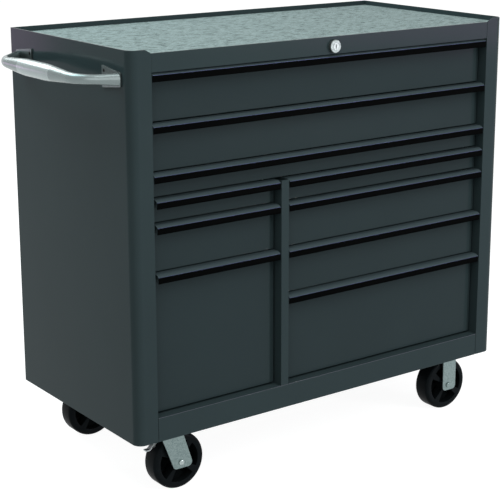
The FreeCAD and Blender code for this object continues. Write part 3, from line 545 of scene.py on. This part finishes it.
for name in drawers:
    pull = finished(name + "_pull", pull_round, pull_coat_painted_light)
    pull.data.materials.append(black_vinyl)
    pull.data.materials.append(lip_painted_highlight)
    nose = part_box(name + "_pull")[1].z - pull_slope
    bpy.ops.object.mode_set(mode="EDIT")
    bpy.ops.mesh.select_all(action="SELECT")
    bpy.ops.mesh.bisect(plane_co=(0, 0, nose - lip_height), plane_no=(0, 0, 1))
    bpy.ops.object.mode_set(mode="OBJECT")
    # The 0.6 mm band under the nose takes the lip's painted highlight; below it is the vinyl.
    for face in pull.data.polygons:
        if face.center.y < front_plane + strip_thickness and face.center.z < nose + lip_fold:
            face.material_index = 1 if face.center.z < nose - lip_height else 2


# Each drawer has a loose liner: a 2 mm sheet of black foam rubber with fine ribs from side to side,
# cut 2 mm short of the walls all round.

# Embossed foam rubber: matt, with ribs every 4 mm whose tops are a little greyer.
liner_rubber = new_material("ribbed_foam_rubber", {"Roughness": 0.75, "Specular IOR Level": 0.2})
rubber = liner_rubber.node_tree
rubber_place = add_node(rubber, "ShaderNodeTexCoord").outputs["Object"]
# At a scale of 1 the wave texture repeats every 0.314 m.
rib_pitch, rib_height, unscaled_pitch = 0.004, 0.0005, 0.314
rib_wave = add_node(rubber, "ShaderNodeTexWave",
                    {"Scale": unscaled_pitch / rib_pitch, "bands_direction": "Y"},
                    Vector=rubber_place)
rubber_tone = add_node(rubber, "ShaderNodeMixRGB",
                       {"Color1": srgb("#16191A"), "Color2": srgb("#25292A")},
                       Fac=rib_wave.outputs["Fac"])
rib_bump = add_node(rubber, "ShaderNodeBump", {"Strength": 0.6, "Distance": rib_height},
                    Height=rib_wave.outputs["Fac"])
linked(liner_rubber, Base_Color=rubber_tone.outputs["Color"], Normal=rib_bump.outputs["Normal"])
box_sheet, face_sheet, box_lift, catch_reach = 0.001, 0.001, 0.002, 0.010
liner_gap, liner_thickness, liner_rest = 0.002, 0.002, 0.0002
liner_corner, liner_edge = 0.004, 0.0005
for name in drawers:
    low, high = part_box(name + "_box")
    left, right = drawer_walls(name)
    left, right = left + box_sheet + liner_gap, right - box_sheet - liner_gap
    near = front_plane + face_recess + face_sheet + liner_gap
    far = high.y - catch_reach - box_sheet - liner_gap
    liner_middle = low.z + box_lift + box_sheet + liner_rest + liner_thickness / 2
    bpy.ops.object.select_all(action="DESELECT")
    bpy.ops.mesh.primitive_cube_add(size=1, location=((left + right) / 2, (near + far) / 2,
                                                      liner_middle))
    liner = bpy.context.object
    liner.name = name + "_liner"
    liner.scale = (right - left, far - near, liner_thickness)
    settle(liner)
    pick_edges(liner, lambda a, b: abs(a.z - b.z) > liner_thickness / 2)
    bpy.ops.mesh.bevel(offset=liner_corner, segments=3)
    round_edges(liner, liner_edge)
    liner.data.materials.append(liner_rubber)
    smooth(liner)
    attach(liner, name)


# The work mat is a 3 mm sheet of closed-cell vinyl foam that lies loose inside the rim, cut to
# its outline and a little round at the edge.

# The foam's pebbled skin is matt grey-green, with dark flecks of 22 by 9 mm from side to side. The
# grain between them is 5 mm, as the pebbles are, so the top reads as rough and mottled.
mat_foam = new_material("mottled_vinyl_foam", {"Roughness": 0.8, "Specular IOR Level": 0.2})
foam = mat_foam.node_tree
foam_place = add_node(foam, "ShaderNodeTexCoord").outputs["Object"]
fleck_length, fleck_width, pebble_size, pebble_depth = 0.022, 0.009, 0.005, 0.0006
stretched = add_node(foam, "ShaderNodeMapping",
                     {"Scale": (1 / fleck_length, 1 / fleck_width, 1 / fleck_width)},
                     Vector=foam_place)
fleck = add_node(foam, "ShaderNodeTexNoise", {"Scale": 1, "Detail": 5, "Roughness": 0.8},
                 Vector=stretched.outputs["Vector"])
fleck_share = add_node(foam, "ShaderNodeMapRange", {"From Min": 0.52, "From Max": 0.57},
                       Value=fleck.outputs["Fac"])
grain = add_node(foam, "ShaderNodeTexNoise",
                 {"Scale": 1 / pebble_size, "Detail": 3, "Roughness": 0.7}, Vector=foam_place)
grain_share = add_node(foam, "ShaderNodeMapRange", {"From Min": 0.38, "From Max": 0.62},
                       Value=grain.outputs["Fac"])
grain_tone = add_node(foam, "ShaderNodeMixRGB",
                      {"Color1": srgb("#718180"), "Color2": srgb("#899998")},
                      Fac=grain_share.outputs["Result"])
foam_tone = add_node(foam, "ShaderNodeMixRGB", {"Color2": srgb("#4E5D5C")},
                     Fac=fleck_share.outputs["Result"], Color1=grain_tone.outputs["Color"])
pebble = add_node(foam, "ShaderNodeTexVoronoi", {"Scale": 1 / pebble_size}, Vector=foam_place)
pebble_bump = add_node(foam, "ShaderNodeBump", {"Strength": 0.35, "Distance": pebble_depth},
                       Height=pebble.outputs["Distance"])
linked(mat_foam, Base_Color=foam_tone.outputs["Color"], Normal=pebble_bump.outputs["Normal"])
mat_round = 0.0006
finished("top_mat", mat_round, mat_foam)


# The lock is a chromed die-cast housing, held behind the header by a nut, with a turning plug
# flush in its face. Its cam moves a zinc-plated frame that bolts all the drawers.

# Both faces' chrome on the die-cast zinc is a soft pale grey, the plug's a little softer than the
# ring round it.
housing_chrome = plated_metal("soft_grey_chrome_plate", "#7C8483", "#6E7675", 0.008, 0.5, 0.06)
plug_chrome = plated_metal("satin_chrome_plate", "#9BA3A2", "#8B9392", 0.003, 0.55, 0.08)
housing_round, plug_round, frame_round = 0.0004, 0.0003, 0.0002
finished("lock_housing", housing_round, housing_chrome)
finished("lock_plug", plug_round, plug_chrome)
finished("lock_frame", frame_round, bright_zinc)


# The side handle is a die-cast aluminium bow, coloured darker than bare aluminium as painted shade.
# Its oval grip is a little lighter, as painted light; past a faint step in tone the arms taper,
# bend in and widen again where they meet the brackets.
def cast_aluminium(name, light, dark, metallic):
    """Cast aluminium, buffed under a clear film, so its long reflections are soft. The tone is
    uneven where the buff went over it, in patches of about 20 mm."""
    casting = new_material(name, {"Metallic": metallic, "Roughness": 0.27})
    buffed_patch = 0.02
    place = add_node(casting.node_tree, "ShaderNodeTexCoord").outputs["Object"]
    tone = clouded(casting.node_tree, place, buffed_patch, 4, light, dark)
    return linked(casting, Base_Color=tone)


# The arms' darker tone is painted shade and the grip's lighter tone is painted light; both have the
# same roughness.
arm_aluminium_painted_shade = cast_aluminium("cast_aluminium_arms_painted_shade", "#7D8888", "#737E7E", 0.7)
grip_aluminium_painted_light = cast_aluminium("cast_aluminium_grip_painted_light", "#98A3A3", "#8D9898", 0.8)
grip_half_length, grip_half_height, grip_half_thickness = 0.044, 0.018, 0.015
light_grip_half_length = 0.072
arm_half_height, arm_half_thickness = 0.0102, 0.009
end_half_height, end_half_thickness, arm_overrun = 0.013, 0.008, 0.016
handle_standoff, handle_half_span, handle_arm_run = 0.068, 0.212, 0.048
bend_radius, bracket_thickness = 0.076, 0.0035
handle_low, handle_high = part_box("side_handle")
grip = (handle_low + handle_high) / 2
grip.x = handle_low.x + grip_half_thickness
arm_way = Vector((handle_standoff - bracket_thickness, -handle_arm_run, 0)).normalized()
arm_turn = math.atan2(handle_standoff - bracket_thickness, handle_arm_run)
bend_reach = bend_radius * math.tan(arm_turn / 2)
bend_start = grip + Vector((0, handle_arm_run + bend_reach - handle_half_span, 0))
bend_centre = bend_start + Vector((bend_radius, 0, 0))
handle_end = Vector((handle_high.x, grip.y - handle_half_span, grip.z))
bpy.ops.object.select_all(action="DESELECT")
bpy.ops.mesh.primitive_circle_add(vertices=64, radius=1, location=grip, rotation=(sideways, 0, 0))
handle = bpy.context.object
handle.name = "side_handle_polished"
bpy.ops.object.transform_apply(location=False, rotation=True, scale=False)
bpy.ops.object.mode_set(mode="EDIT")
bpy.ops.mesh.select_mode(type="EDGE")
bpy.ops.mesh.select_all(action="SELECT")
bpy.ops.transform.resize(value=(grip_half_thickness, 1, grip_half_height),
                         center_override=grip)


def oval(weight):
    """Half height and half thickness of the handle between its arm, at 0, and its grip, at 1."""
    return (arm_half_height + (grip_half_height - arm_half_height) * weight,
            arm_half_thickness + (grip_half_thickness - arm_half_thickness) * weight)


def swell(place, old, new):
    """Changes the handle's open end from one oval to another."""
    bpy.ops.transform.resize(value=(new[1] / old[1], new[1] / old[1], new[0] / old[0]),
                             center_override=place)


def draw_on(move, place, old, new):
    """Extrudes the handle's open end by a move and gives it a new oval."""
    bpy.ops.mesh.extrude_region_move(TRANSFORM_OT_translate={"value": move})
    swell(place, old, new)


# Half of the handle is drawn from its middle: the grip, the taper, the bend, and the arm, which
# runs past the bracket's plane and is cut there. The oval's weight falls from 1 at the grip to a
# quarter where the bend starts and nothing where it ends. The mirror makes the other half.
place, size = grip + Vector((0, -grip_half_length, 0)), oval(1)
draw_on(place - grip, place, size, size)
taper_steps, bend_steps, arm_steps = 10, 14, 8
taper_move = (bend_start - place) / taper_steps
for step in range(taper_steps):
    share = (step + 1) / taper_steps
    place, old, size = place + taper_move, size, oval(1 - 0.53 * share - 0.22 * share * share)
    draw_on(taper_move, place, old, size)
for step in range(bend_steps):
    share = (step + 1) / bend_steps
    angle = arm_turn * share
    bpy.ops.mesh.spin(steps=1, angle=-arm_turn / bend_steps, center=bend_centre, axis=(0, 0, 1))
    place = bend_centre - Vector((math.cos(angle), math.sin(angle), 0)) * bend_radius
    old, size = size, oval(0.25 - 0.51 * share + 0.26 * share * share)
    swell(place, old, size)
arm_move = (handle_end + arm_way * arm_overrun - place) / arm_steps
arm_size = size
for step in range(arm_steps):
    share = (step + 1) / arm_steps
    place, old = place + arm_move, size
    size = (arm_size[0] + (end_half_height - arm_size[0]) * share,
            arm_size[1] + (end_half_thickness - arm_size[1]) * share)
    draw_on(arm_move, place, old, size)
bpy.ops.mesh.select_all(action="SELECT")
bpy.ops.mesh.bisect(plane_co=(handle_high.x, 0, 0), plane_no=(1, 0, 0), clear_outer=True,
                    use_fill=True)
bpy.ops.object.mode_set(mode="OBJECT")
other_half = handle.modifiers.new("other_half", "MIRROR")
other_half.use_axis[0] = False
other_half.use_axis[1] = True
other_half.merge_threshold = 0.0001
bpy.ops.object.modifier_apply(modifier="other_half")
settle(handle)
bpy.ops.object.mode_set(mode="EDIT")
bpy.ops.mesh.select_all(action="SELECT")
bpy.ops.mesh.remove_doubles(threshold=same_point)
bpy.ops.mesh.normals_make_consistent(inside=False)
bpy.ops.object.mode_set(mode="OBJECT")
handle.data.materials.append(arm_aluminium_painted_shade)
handle.data.materials.append(grip_aluminium_painted_light)
# The grip's faces take the lighter tone: painted light.
for face in handle.data.polygons:
    if abs(face.center.y - grip.y) < light_grip_half_length:
        face.material_index = 1
smooth(handle)
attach(handle, frame["nodes"]["side_handle"]["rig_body"])
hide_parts("side_handle")
# The brackets are tumbled zinc castings, a darker and softer grey than the bow they hold.
bracket_casting = plated_metal("satin_zinc_casting", "#646E6E", "#566060", 0.004, 0.42, 0.1)
# Black oxide leaves the screws dark, with a dull shine: four small dark spots on the brackets.
black_oxide = plated_metal("black_oxide_screws", "#141616", "#0B0C0C", 0.001, 0.45, 0.1)
bracket_round, screw_round = 0.0006, 0.0002
finished("handle_brackets", bracket_round, bracket_casting)
finished("handle_screws", screw_round, black_oxide)
